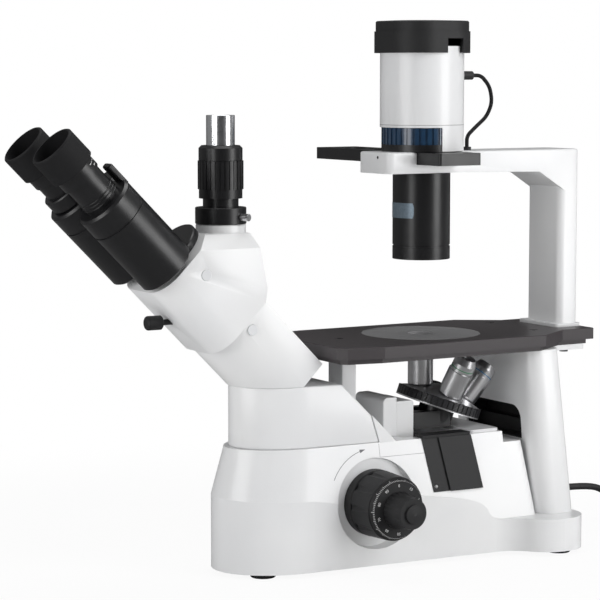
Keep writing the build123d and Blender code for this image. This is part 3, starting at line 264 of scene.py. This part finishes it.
# Three large soft lamps: the key from the instrument's right, one from its front, one from above.
for name, spot, target, wide, high, energy in (
    ("key_lamp", (900, -1500, 900), (0, 0, 250), 0.9, 2.0, 25),
    ("left_lamp", (-1700, -300, 480), (-60, 0, 180), 1.0, 0.9, 10),
    ("top_lamp", (150, 350, 1900), (0, 0, 250), 1.2, 1.2, 13),
):
    lamp = bpy.data.lights.new(name, "AREA")
    lamp.shape = "RECTANGLE"
    lamp.size = wide
    lamp.size_y = high
    lamp.energy = energy
    holder = bpy.data.objects.new(name, lamp)
    bpy.context.scene.collection.objects.link(holder)
    holder.location = at(*spot)
    holder.rotation_euler = (at(*target) - at(*spot)).to_track_quat("-Z", "Y").to_euler()


# Power cord: 1.8 m of round black mains lead with a soft sheath. It leaves the column's rear wall
# through its boot, and the spare length lies behind the instrument in a neat coil with a tie.
sheath = Finish("cord_sheath", (0.016, 0.016, 0.017), 0.55, Specular_IOR_Level=0.4)
grain = sheath.noise(1400, 2)
sheath.bump(grain, 0.0002, 0.5)
sheath.set("Roughness", grain * 0.25 + 0.42)

coil_x, coil_y, coil_start = 272, -38, 84
rings = ((48.2, 3.3), (41.7, 3.3), (35.1, 3.3), (35.1, 9.8), (41.7, 9.8), (48.2, 9.8))
step_count, end_steps, end_flare = 16, 3, 16
route = [(152.2, -10, 44), (187, -10, 44), (213, -8, 36.5), (238, 2, 13), (256, 8.5, 5)]
for step in range(len(rings) * step_count + end_steps):
    turned = step / step_count
    angle = radians(coil_start - 360 * turned)
    layer = min(int(turned), len(rings) - 1)
    blend = min(1, (turned - layer) * 4) if layer else 1
    here, last = rings[layer], rings[max(layer - 1, 0)]
    ring = last[0] + (here[0] - last[0]) * blend + end_flare * max(0, turned - len(rings))
    rise = last[1] + (here[1] - last[1]) * blend
    route.append((coil_x + ring * cos(angle), coil_y + ring * sin(angle), rise))
route += [(318, -16, 10), (324, -32, 10), (326, -48, 10), (326, -66, 10)]
line = bpy.data.curves.new("mains_lead", "CURVE")
line.dimensions = "3D"
line.bevel_depth = 0.0032
line.bevel_resolution = 5
line.resolution_u = 6
spline = line.splines.new("NURBS")
spline.points.add(len(route) - 1)
for point, spot in zip(spline.points, route):
    point.co = (*at(*spot), 1)
spline.order_u = 3
spline.use_endpoint_u = True
line.materials.append(sheath.material)
mains = bpy.data.objects.new("mains_lead", line)
bpy.context.scene.collection.objects.link(mains)
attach(mains, "stand")
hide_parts("power_cord", "cord_coil")


# The tie round the coil: a flat strip, closed round all the turns on one side.
tie_half_wide, tie_thick, tie_steps = 0.003, 0.0006, 20
tie_middle, tie_middle_z, tie_reach, tie_rise = 41.6, 7.0, 11.2, 6.2
tie_angle = radians(-110)
tie_side = Vector((0.94, -0.342, 0))


def strap(spots):
    # A closed strip that follows a loop of points, made edge by edge and then given its wall
    clear_selection()
    bpy.ops.mesh.primitive_plane_add(size=0.001, location=(0, 0, 0))
    piece = bpy.context.object
    net = bmesh.new()
    rows = []
    for spot in spots:
        rows.append([net.verts.new(spot + side * tie_half_wide) for side in (tie_side, -tie_side)])
    for one, two in zip(rows, rows[1:] + rows[:1]):
        net.faces.new((one[0], one[1], two[1], two[0]))
    bmesh.ops.recalc_face_normals(net, faces=net.faces)
    net.to_mesh(piece.data)
    net.free()
    add_wall(piece, tie_thick)
    return piece


def squared(value):
    # Pulls a circle's sine or cosine out toward a rounded square
    return abs(value) ** 0.6 * (1 if value > 0 else -1)


loop = []
for step in range(tie_steps):
    angle = 2 * pi * step / tie_steps
    away = tie_middle + tie_reach * squared(cos(angle))
    high = tie_middle_z + tie_rise * squared(sin(angle))
    loop.append(at(coil_x + away * cos(tie_angle), coil_y + away * sin(tie_angle), high))
tie_black = Finish("tie_plastic", (0.03, 0.03, 0.032), 0.5)
tie_black.bump(tie_black.noise(900, 1), 0.0002, 0.4)
tie = finish_piece(strap(loop), "coil_tie", "stand", tie_black)
at(152.2, -10, 44)


# White enamel castings: base, tower, arm, head, column, lamp arm and lamp house are aluminium,
# stove enamelled in a cool white with a faint orange peel and a slight cloudiness.
enamel = Finish("white_enamel", (0.82, 0.825, 0.83), 0.36, Coat_Weight=0.35, Coat_Roughness=0.18)
cloud = enamel.noise(9, 3)
peel = enamel.noise(620, 2)
across, side, height = (enamel.part(axis) for axis in range(3))


def band(value, low, high, centre=0.0):
    return (value > (centre + low) / 1000) * (value < (centre + high) / 1000)


# Joints that show as fine dark lines: the lamp house's seam above its window, and the lid over the
# wiring on the base's right side.
lamp_line = band(height, 395.0, 395.6) * band(across, -40, 40, axis_x)
lid_height = band(height, 100, 112)
lid_front = band(across, -75.2, -74.7, axis_x) * lid_height
lid_rear = band(across, -28.3, -27.8, axis_x) * lid_height
lid_foot = band(height, 99.8, 100.3) * band(across, -75, -28, axis_x)
seams = lamp_line + (lid_front + lid_rear + lid_foot) * (side < -0.05)
coat = enamel.mix(enamel.fade(cloud, 0.35, 0.7), (0.80, 0.805, 0.815), (0.845, 0.848, 0.85))
enamel.set("Base Color", enamel.mix(seams * 0.75, coat, (0.2, 0.2, 0.21)))
enamel.set("Roughness", cloud * 0.1 + 0.3)
enamel.bump(peel, 0.00012, 0.35)
paint(
    enamel, "base_casting", "front_tower", "head_arm", "head_box", "rear_column",
    "illumination_arm", "lamp_house", "focus_guide_block", "focus_carriage", "stage_front_post",
)


# Stage plate: aluminium, milled flat and anodised a satin black with the cutter's fine grain.
stage_black = Finish("stage_black", (0.052, 0.046, 0.049), 0.4, Specular_IOR_Level=0.35)
grit = stage_black.noise(1500, 2)
stage_black.set("Roughness", grit * 0.16 + 0.28)
stage_black.bump(grit, 0.0001, 0.35)
paint(stage_black, "stage_plate")


# The insert is turned, so its marks are rings round the optical axis.
# Its light grey base colour is partly the insert's own lighter tone and partly painted sheen: the
# glancing shine of the turned face is put into the colour.
insert_grey_painted_sheen = Finish("insert_grey_painted_sheen", (0.3, 0.3, 0.305), 0.4, 0.2)
stage_top = 203
middle = {"Vector": insert_grey_painted_sheen.place, "Location": tuple(-at(0, 0, stage_top))}
spot = insert_grey_painted_sheen.node("ShaderNodeMapping", None, middle)
rings = insert_grey_painted_sheen.node(
    "ShaderNodeTexWave", {"wave_type": "RINGS", "rings_direction": "Z"},
    {"Vector": spot, "Scale": 420, "Distortion": 0.6, "Detail": 1},
)
insert_grey_painted_sheen.set("Roughness", rings * 0.12 + 0.24)
insert_grey_painted_sheen.bump(rings, 0.00005, 0.5)
paint(insert_grey_painted_sheen, "stage_insert")


# Black fittings: hub, prism housings, port rings, eyepiece barrels, condenser, lamp collar, bracket
# and slider are aluminium with a satin black coat whose gloss varies a little.
satin = Finish("satin_black", (0.009, 0.009, 0.01), 0.36, Specular_IOR_Level=0.5)
grit = satin.noise(1100, 2)
satin.set("Roughness", satin.noise(60, 2) * 0.14 + 0.25)
satin.bump(grit, 0.0001, 0.3)
paint(
    satin, "hub_plate", "prism_housing_right", "prism_housing_left", "eyepiece_right", "eyepiece_left",
    "port_ring", "port_cap", "port_focus_ring", "diopter_ring", "condenser_tube", "lamp_collar",
    "nosepiece_bracket", "phase_slider", "phase_rings", "bottom_plate",
)


# Black mouldings: the lamp cap, side cover, cavity liner, knobs, switch, dimmer and plug are matt
# plastic with a fine spark-eroded grain.
moulded = Finish("moulded_black", (0.017, 0.017, 0.018), 0.58, Specular_IOR_Level=0.35)
grain = moulded.noise(1700, 3)
moulded.set("Roughness", grain * 0.2 + 0.45)
moulded.bump(grain, 0.00018, 0.5)
paint(
    moulded, "lamp_cap", "side_cover", "cavity_liner", "switch_frame", "switch_rocker",
    "brightness_knob", "cord_glands", "power_plug", "selector_rod", "turret_plug", "tension_collar",
    "coarse_knobs", "fine_knobs",
)


# Rubber: eyecups, feet and the lamp's lead.
rubber = Finish("soft_rubber", (0.011, 0.011, 0.012), 0.72, Specular_IOR_Level=0.25)
grain = rubber.noise(2200, 3)
rubber.set("Roughness", grain * 0.2 + 0.6)
rubber.bump(grain, 0.00015, 0.45)
paint(rubber, "eyecup_right", "eyecup_left", "rubber_feet", "lamp_lead")


# Bright metal: the camera tube is polished chrome; cone, objectives and screws are satin nickel.
chrome = Finish("bright_chrome", (0.74, 0.75, 0.77), 0.16, 1.0)
haze = chrome.noise(240, 2)
chrome.set("Roughness", haze * 0.12 + 0.17)
paint(chrome, "camera_tube")
nickel = Finish("satin_nickel", (0.68, 0.68, 0.69), 0.26, 1.0)
grit = nickel.noise(1500, 2)
nickel.set("Roughness", grit * 0.14 + 0.24)
nickel.bump(grit, 0.00004, 0.4)
paint(nickel, "turret_cone", "objectives", "port_thumbscrew", "coarse_shaft", "fine_shaft")


# Screws under the stage and white plastic plugs in the head's sides share one part of the model.
plugs = Finish("plugs_and_screws", (0.7, 0.71, 0.72), 0.4)
height = plugs.part("Z")
low = plugs.fade(height, 0.2035, 0.2045)
plugs.set("Base Color", plugs.mix(low, (0.05, 0.05, 0.05), (0.72, 0.73, 0.745)))
plugs.set("Metallic", 0.6 - low * 0.6)
plugs.bump(plugs.noise(900, 1), 0.0001, 0.3)
paint(plugs, "screws_and_plugs")


# The turret's ring is black with a cross-cut grip, and its lowest band is bare metal. Heights on it
# are measured along the slanted axis that it turns on.
grip_black = Finish("turret_grip", (0.02, 0.02, 0.022), 0.38)
turret_centre, turret_axis = at(20.549, -5.506, 147.875), Vector((0.31447, -0.08426, 0.94552))
bare_edge = -0.0137
along = sum((grip_black.part(i) - turret_centre[i]) * turret_axis[i] for i in range(3))
bare = along < bare_edge
cuts = grip_black.node("ShaderNodeMath", {"operation": "SINE"}, {0: along * 4500})
grip_black.set("Base Color", grip_black.mix(bare, (0.02, 0.02, 0.022), (0.6, 0.6, 0.61)))
grip_black.set("Metallic", bare)
grip_black.set("Roughness", grip_black.noise(1200, 2) * 0.16 + 0.26)
grip_black.bump(cuts, 0.00012, 0.5)
paint(grip_black, "turret_ring")


# Filter ring: blue translucent plastic with flutes round its rim, and the blue glass in it.
filter_blue = Finish("filter_blue", (0.03, 0.11, 0.24), 0.22, Coat_Weight=0.6, Coat_Roughness=0.08)
depth = filter_blue.noise(120, 2)
filter_blue.set("Base Color", filter_blue.mix(depth, (0.006, 0.024, 0.06), (0.018, 0.058, 0.12)))
paint(filter_blue, "filter_ring")


# Glass: the condenser's lens and the halogen bulb.
glass = Finish("clear_glass", (0.93, 0.97, 0.98), 0.03, Transmission_Weight=0.9, IOR=1.5)
glass.set("Roughness", glass.noise(400, 1) * 0.03)
paint(glass, "condenser_lens", "halogen_bulb")


# Inside: the lamp's ceramic socket, the folding mirror under the objectives, transformer and board.
ceramic = Finish("cream_ceramic", (0.78, 0.74, 0.64), 0.35)
ceramic.bump(ceramic.noise(700, 2), 0.0001, 0.3)
paint(ceramic, "lamp_socket")
mirror_face = Finish("silvered_mirror", (0.9, 0.9, 0.9), 0.04, 1.0)
mirror_face.set("Roughness", mirror_face.noise(300, 1) * 0.06)
paint(mirror_face, "beam_mirror")
board = Finish("supply_parts", (0.04, 0.2, 0.1), 0.5)
along = board.part("X")
board.set("Base Color", board.mix(board.fade(along, 0.03, 0.05), (0.25, 0.22, 0.2), (0.03, 0.18, 0.09)))
board.bump(board.noise(500, 2), 0.0001, 0.3)
paint(board, "power_supply")


# Rounded castings: a casting has no sharp edge, so seven enamelled ones are shown by copies whose
# edges are dressed round, as they are filed and painted. Each copy is merged before that.
merge_reach, flat_angle, edge_angle, smooth_angle = 0.00002, radians(1.2), radians(28), radians(32)


def dressed(node, wide, move=None):
    clear_selection()
    copy = bpy.data.objects.new(node + "_dressed", nodes[node].data.copy())
    bpy.context.scene.collection.objects.link(copy)
    copy.select_set(True)
    bpy.context.view_layer.objects.active = copy
    bpy.ops.object.mode_set(mode="EDIT")
    bpy.ops.mesh.select_all(action="SELECT")
    bpy.ops.mesh.remove_doubles(threshold=merge_reach)
    bpy.ops.mesh.dissolve_limited(angle_limit=flat_angle)
    bpy.ops.object.mode_set(mode="OBJECT")
    if move:
        for vert in copy.data.vertices:
            vert.co = move(vert.co.copy())
    edge = copy.modifiers.new("edge", "BEVEL")
    edge.width = wide / 1000
    edge.segments = 3
    edge.limit_method = "ANGLE"
    edge.angle_limit = edge_angle
    edge.use_clamp_overlap = True
    edge.miter_outer = "MITER_ARC"
    bpy.ops.object.modifier_apply(modifier="edge")
    bpy.ops.object.shade_smooth_by_angle(angle=smooth_angle)
    finish_piece(copy, node + "_dressed", "stand", enamel)
    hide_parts(node)


def arm_line(spot):
    # The arm's underside runs almost level into the pillar, with a small hollow in the corner
    x, z = spot.x * 1000 - axis_x, spot.z * 1000
    if 100 < x < 145 and 325 < z < 346:
        spot.z = (350.6 if z > 338 else 347.5) / 1000
    return spot


for node, wide, move in (
    ("head_box", 5.0, None), ("head_arm", 1.2, None), ("front_tower", 1.6, None),
    ("rear_column", 1.4, None), ("illumination_arm", 2.4, arm_line),
    ("focus_guide_block", 1.2, None), ("stage_front_post", 0.6, None),
):
    dressed(node, wide, move)


# Dial on the right coarse knob: white ticks round its cone and plain numbers on its flat ring,
# printed on the moulding. They turn with the coarse knobs.
print_white = Finish("print_white", (0.72, 0.72, 0.72), 0.5)
print_white.bump(print_white.noise(1800, 1), 0.00004, 0.3)


def join(parts, name):
    clear_selection()
    for part in parts:
        part.select_set(True)
    bpy.context.view_layer.objects.active = parts[0]
    bpy.ops.object.join()
    parts[0].name = name
    return parts[0]


def tick(spot, wide, long, thick, turn):
    # A flat bar with its corners taken off, stood at a spot by the given turn
    clear_selection()
    bpy.ops.mesh.primitive_cube_add(size=1, location=(0, 0, 0))
    bar = bpy.context.object
    bar.scale = (wide / 1000, long / 1000, thick / 1000)
    bpy.ops.object.transform_apply(location=False, rotation=False, scale=True)
    bpy.ops.object.mode_set(mode="EDIT")
    bpy.ops.mesh.select_all(action="SELECT")
    bpy.ops.mesh.bevel(offset=thick / 4000, segments=1)
    bpy.ops.object.mode_set(mode="OBJECT")
    stand_at(bar, spot, turn)
    return bar


def sign(text, size, spot, turn):
    # Plain figures, made a mesh before their place is applied
    clear_selection()
    bpy.ops.object.text_add(location=(0, 0, 0))
    word = bpy.context.object
    word.data.body = text
    word.data.size = size / 1000
    word.data.extrude = 0.00004
    word.data.align_x = "CENTER"
    word.data.align_y = "CENTER"
    word.data.resolution_u = 3
    bpy.ops.object.convert(target="MESH")
    word = bpy.context.object
    stand_at(word, spot, turn)
    return word


def frame_of(right, up):
    # A turn whose x runs along right and y along up
    right, up = Vector(right).normalized(), Vector(up).normalized()
    out = right.cross(up).normalized()
    return Matrix((right, out.cross(right), out)).transposed()


knob = (-82, 60)
cone_root, cone_tip, cone_long = 27.5, 25.2, 5.5
cone_back_y, dial_face_y = -84, -89.52
tick_count, tick_wide, tick_thick, tick_end, tick_rise = 100, 0.4, 0.12, 5.3, 0.05
number_count, number_size, number_radius = 10, 3.6, 21.4
cone_fall = cone_root - cone_tip
lean = atan(cone_fall / cone_long)
marks = []
for step in range(tick_count):
    angle = 2 * pi * step / tick_count
    long = 3.6 if step % 10 == 0 else 2.6 if step % 5 == 0 else 1.8
    reach = tick_end - long / 2
    radius = cone_root - reach * cone_fall / cone_long + tick_rise
    outward = Vector((cos(angle), 0, sin(angle)))
    along = (Vector((0, -1, 0)) * cos(lean) - outward * sin(lean)).normalized()
    side = along.cross(outward)
    spot = at(knob[0] + radius * cos(angle), cone_back_y - reach, knob[1] + radius * sin(angle))
    marks.append(tick(spot, tick_wide, long, tick_thick, frame_of(side, along)))
for step in range(number_count):
    angle = pi / 2 - 2 * pi * step / number_count
    outward = Vector((cos(angle), 0, sin(angle)))
    side = Vector((sin(angle), 0, -cos(angle)))
    across, up = number_radius * cos(angle), number_radius * sin(angle)
    spot = at(knob[0] + across, dial_face_y, knob[1] + up)
    marks.append(sign(str(step * 10), number_size, spot, frame_of(side, outward)))
dial = join(marks, "coarse_dial_marks")
finish_piece(dial, "coarse_dial_marks", "coarse_focus", print_white)


# Turning arrow over the knob: a thin grey line printed on the casting's leaning side, with a head.
ink = Finish("grey_ink", (0.16, 0.16, 0.17), 0.55)
ink.bump(ink.noise(1500, 1), 0.00003, 0.3)
right_of_all = -140
ink_rise = 0.00006
arrow_radius, arrow_start, arrow_step, arrow_count, arrow_tip = 48.5, 150, 1.75, 26, 103.5


def on_side(name, x, z):
    # The point of a node's right side that lies behind a place, and the way it faces
    found = nodes[name].ray_cast(at(x, right_of_all, z), Vector((0, 1, 0)))
    return found[1], found[2]


def round_knob(degree):
    # The place and turn of a mark on the arrow's line
    angle = radians(degree)
    x, z = knob[0] + arrow_radius * cos(angle), knob[1] + arrow_radius * sin(angle)
    spot, normal = on_side("base_casting", x, z)
    way = Vector((sin(angle), 0, -cos(angle)))
    return spot + normal * ink_rise, frame_of(way.cross(normal), way)


arrow = []
for step in range(arrow_count):
    spot, turn = round_knob(arrow_start - step * arrow_step)
    arrow.append(tick(spot, 0.45, 2.0, 0.08, turn))
clear_selection()
bpy.ops.mesh.primitive_cylinder_add(vertices=3, radius=0.0031, depth=0.00009, location=(0, 0, 0))
head = bpy.context.object
head.scale = (0.62, 1.25, 1)
bpy.ops.object.transform_apply(location=False, rotation=False, scale=True)
stand_at(head, *round_knob(arrow_tip))
arrow.append(head)
finish_piece(join(arrow, "turning_arrow"), "turning_arrow", "stand", ink)


# Eyepieces: white index marks on each collar, and turned ribs at the foot of each tube.
head_z, tube_u, tube_y, collar_radius = 203, -144.7, 28.8, 18.04
index_marks = ((-38, 368.6, 2.6), (-50, 368.6, 1.2), (-59, 368.6, 2.6), (-46, 365.2, 3.4))


def eye_at(u, y, s):
    # A place in the slanted frame of the head: u up and to the rear, s along the light to the eye
    return at((u - s) / 2 ** 0.5, y, head_z + (u + s) / 2 ** 0.5)


up_rear = Vector((1, 0, 1)).normalized()
to_eye = Vector((-1, 0, 1)).normalized()
for side, eyepiece, housing in (
    (-1, "right_eyepiece", "right_housing"), (1, "left_eyepiece", "left_housing"),
):
    bars = []
    for turn, s, wide in index_marks:
        angle = radians(turn)
        outward = up_rear * cos(angle) + Vector((0, sin(angle), 0))
        up, across = collar_radius * cos(angle), collar_radius * sin(angle)
        spot = eye_at(tube_u + up, side * tube_y + across, s)
        bars.append(tick(spot, wide, 0.7, 0.12, frame_of(to_eye.cross(outward), to_eye)))
    name = eyepiece + "_marks"
    finish_piece(join(bars, name), name, eyepiece, print_white)
    ribs = []
    for s in (337.0, 340.0, 343.0):
        clear_selection()
        bpy.ops.mesh.primitive_torus_add(
            major_segments=72, minor_segments=8, major_radius=0.0165, minor_radius=0.0006
        )
        rib = bpy.context.object
        stand_at(rib, eye_at(tube_u, side * tube_y, s), frame_of((0, 1, 0), up_rear))
        bpy.ops.object.shade_smooth_by_angle(angle=radians(60))
        ribs.append(rib)
    finish_piece(join(ribs, housing + "_ribs"), housing + "_ribs", housing, satin)


# Objectives: each carries one thin coloured ring near its tip, by which its power is told.
seat_radius, seat_tilt, ring_along = 0.0225, radians(19), 0.0285
toward = Vector((-0.91331, 0.24472, 0.32557))
seat_turn = Matrix((toward, turret_axis.cross(toward), turret_axis)).transposed().to_4x4()
for turn, name, colour in (
    (0, "low_power_ring", (0.55, 0.4, 0.03)), (90, "middle_power_ring", (0.04, 0.28, 0.12)),
    (180, "high_power_ring", (0.03, 0.2, 0.4)),
):
    ring_paint = Finish(name, colour, 0.35, Coat_Weight=0.3)
    ring_paint.bump(ring_paint.noise(900, 1), 0.00003, 0.3)
    clear_selection()
    bpy.ops.mesh.primitive_cylinder_add(vertices=72, radius=0.01082, depth=0.0007, location=(0, 0, 0))
    ring = bpy.context.object
    place = seat_turn @ Matrix.Rotation(radians(turn), 4, "Z") @ Matrix.Translation((seat_radius, 0, 0))
    place = place @ Matrix.Rotation(seat_tilt, 4, "Y") @ Matrix.Translation((0, 0, ring_along))
    stand_at(ring, turret_centre, place)
    bpy.ops.object.shade_smooth_by_angle(angle=radians(40))
    finish_piece(ring, name, "turret", ring_paint)


# Set screw in the nose of the lamp arm: a small dark socket.
clear_selection()
bpy.ops.mesh.primitive_cylinder_add(vertices=24, radius=0.0014, depth=0.00012, location=(0, 0, 0))
socket = bpy.context.object
stand_at(socket, at(-53.02, -8, 366.3), frame_of((0, -1, 0), (0, 0, 1)))
finish_piece(socket, "nose_set_screw", "stand", moulded)


# Side cover's fixing screw: a small nickelled pan head at the pocket's lower front corner.
head_radius, head_cut, head_sunk = 0.0019, 0.0006, 0.0009
clear_selection()
bpy.ops.mesh.primitive_uv_sphere_add(
    segments=24, ring_count=12, radius=head_radius, location=(0, 0, 0)
)
screw = bpy.context.object
bpy.ops.object.mode_set(mode="EDIT")
bpy.ops.mesh.select_all(action="SELECT")
bpy.ops.mesh.bisect(plane_co=(0, 0, head_cut), plane_no=(0, 0, -1), use_fill=True, clear_outer=True)
bpy.ops.object.mode_set(mode="OBJECT")
spot, normal = on_side("side_cover", -19.5, 69.5)
side = normal.orthogonal().normalized()
stand_at(screw, spot - normal * head_sunk, frame_of(side, normal.cross(side)))
bpy.ops.object.shade_smooth_by_angle(angle=radians(40))
finish_piece(screw, "cover_screw", "stand", nickel)


# Foil on the condenser: thin and bare, with rounded ends, bent round the tube.
foil_radius, foil_z, foil_half_high, foil_thick = 26.62, 317.3, 6.9, 0.0002
foil_middle, foil_half_angle = 184, 37.5
foil = Finish("bare_foil", (0.3, 0.34, 0.37), 0.32, 0.3)
smear = foil.noise(500, 3)
foil.set("Base Color", foil.mix(smear, (0.1, 0.14, 0.18), (0.22, 0.28, 0.33)))
clear_selection()
bpy.ops.mesh.primitive_grid_add(x_subdivisions=24, y_subdivisions=10, size=1, location=(0, 0, 0))
plate = bpy.context.object
net = bmesh.new()
net.from_mesh(plate.data)
for vert in net.verts:
    across, up = vert.co.x * 2, vert.co.y * 2
    shrink = 1 - 0.16 * max(0, abs(up) - 0.35) ** 1.6 * abs(across) ** 3
    angle = radians(foil_middle + foil_half_angle * across * shrink)
    high = foil_z + foil_half_high * up
    vert.co = at(foil_radius * cos(angle), foil_radius * sin(angle), high)
net.to_mesh(plate.data)
net.free()
add_wall(plate, foil_thick)
bpy.ops.object.shade_smooth_by_angle(angle=radians(40))
finish_piece(plate, "condenser_foil", "stand", foil)
